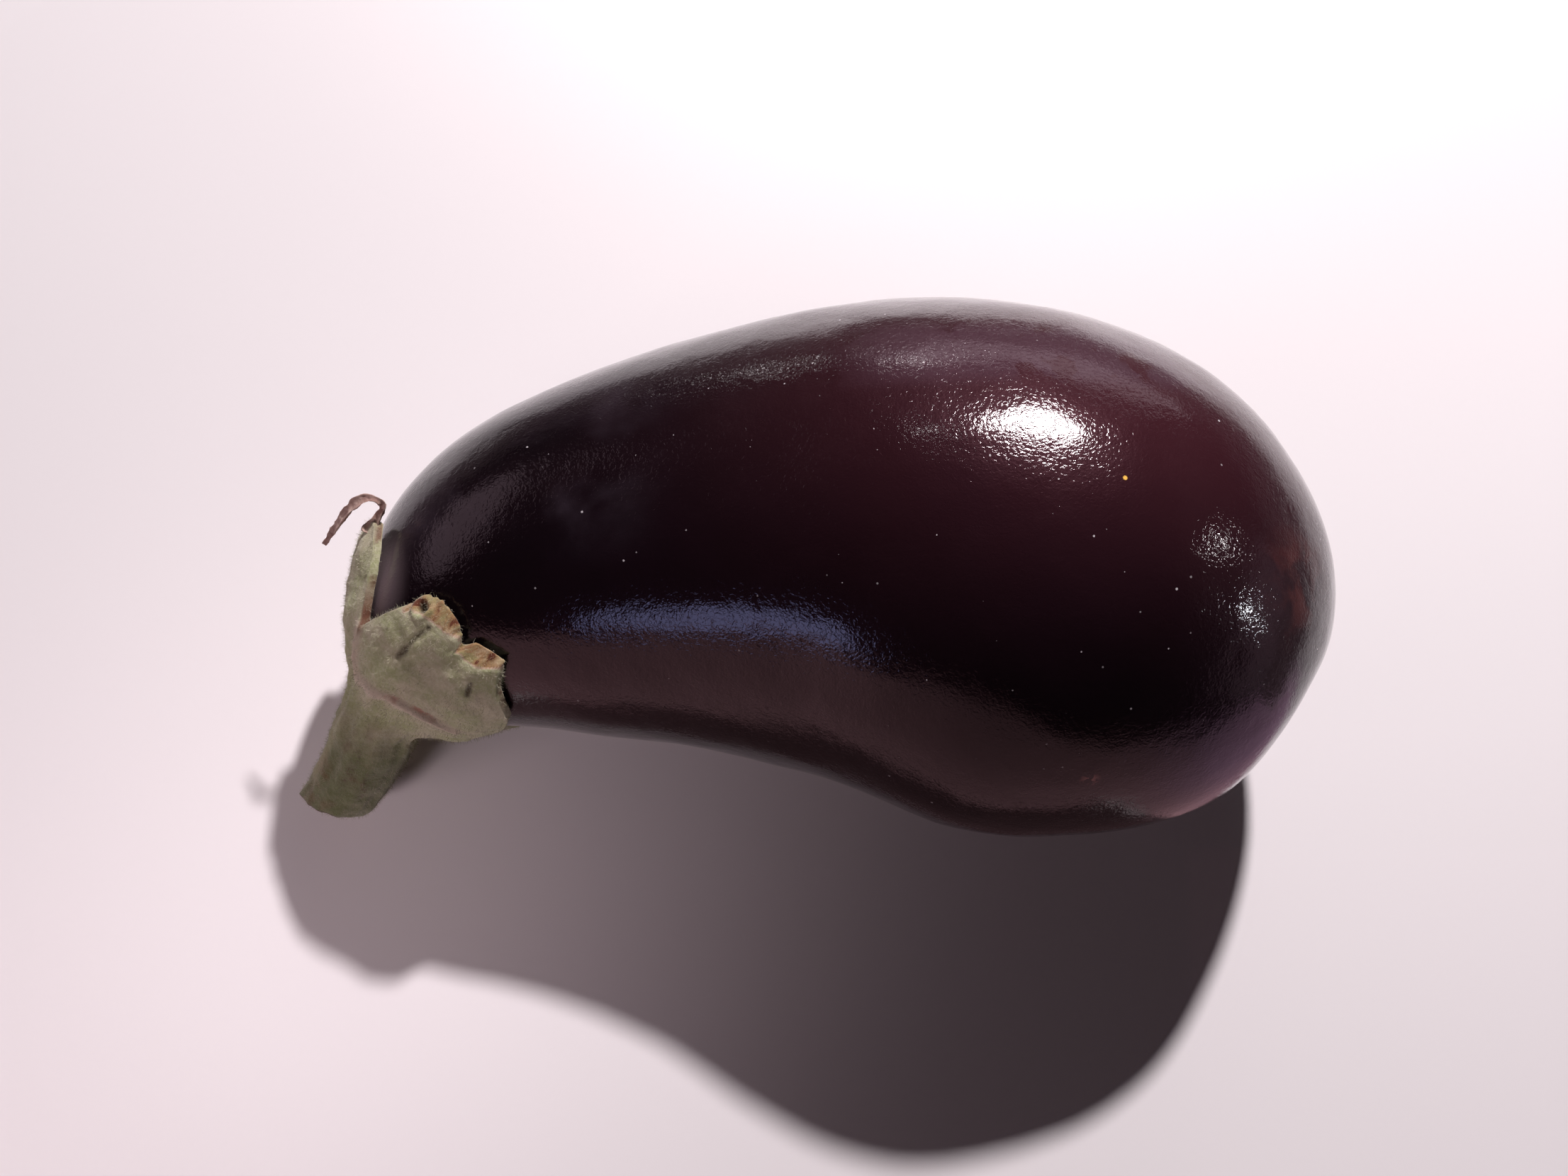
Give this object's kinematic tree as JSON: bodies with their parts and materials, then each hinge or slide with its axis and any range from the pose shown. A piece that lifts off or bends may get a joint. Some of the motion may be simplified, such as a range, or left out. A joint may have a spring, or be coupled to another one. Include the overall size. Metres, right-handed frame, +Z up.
{
  "type": "eggplant",
  "caption": "Glossy dark purple oval eggplant, gently bent, lying on its side with its green sepals and a short cut stem.",
  "frame": {"origin": "on the surface that the eggplant lies on, under the middle of its bounding box", "axes": "+X along its length, from the stem end to the blossom end; +Z up, away from the surface that it lies on; the cut stem droops towards -Y"},
  "size_m": [0.1664, 0.0856, 0.0825],
  "materials": {
    "skin": "waxy, glossy, nearly black purple skin",
    "calyx": "dull grey-green, leathery and finely downy, with cream torn edges"
  },
  "bodies": {
    "root": {"fruit": "skin", "calyx_and_stem": "calyx"}
  },
  "joints": []
}
